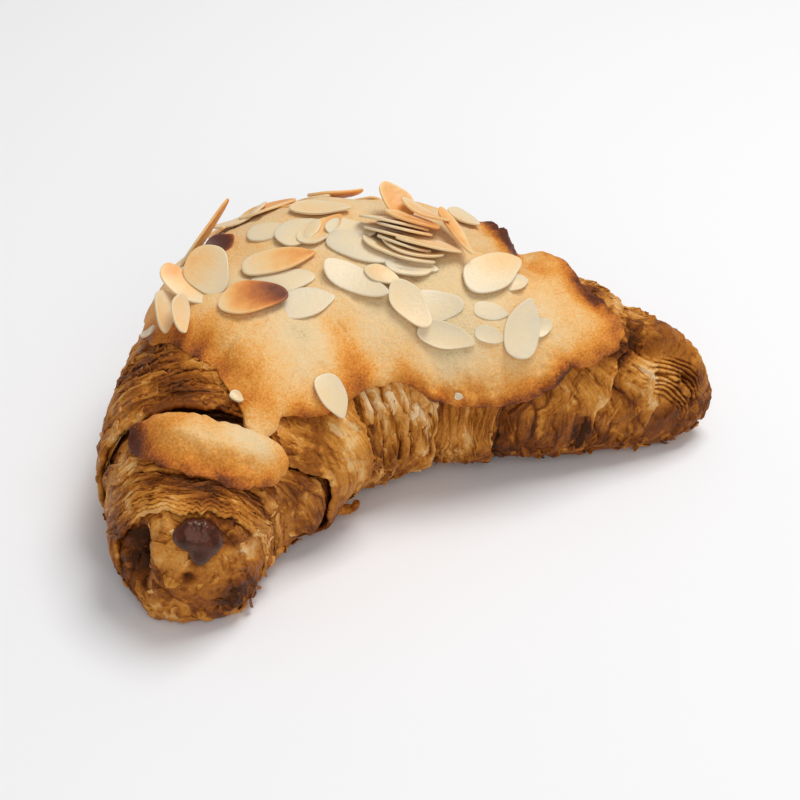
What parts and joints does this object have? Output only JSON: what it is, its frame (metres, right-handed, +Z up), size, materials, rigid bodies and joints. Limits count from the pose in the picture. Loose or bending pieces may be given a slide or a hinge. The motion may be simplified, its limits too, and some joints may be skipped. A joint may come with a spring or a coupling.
{
  "type": "almond croissant",
  "caption": "Crescent of rolled flaky dough under a baked sheet of almond cream with flaked almonds; food that rests flat on a plate or table.",
  "frame": {"origin": "on the table, under the middle of the croissant's bounding box", "axes": "+X from the thick left tip to the slim right tip, +Y towards the outer side of the crescent, +Z up from the table"},
  "size_m": [0.1744, 0.1122, 0.0703],
  "materials": {
    "dough": "browned flaky crust, slightly shiny on the ridges",
    "almond_cream": "baked almond cream, matte and sandy, browned at the rim",
    "caramel_drop": "dark caramelised cream, glossy"
  },
  "bodies": {
    "root": {"dough": "dough", "almond_cream": "almond_cream", "caramel_drop": "caramel_drop"}
  },
  "joints": []
}
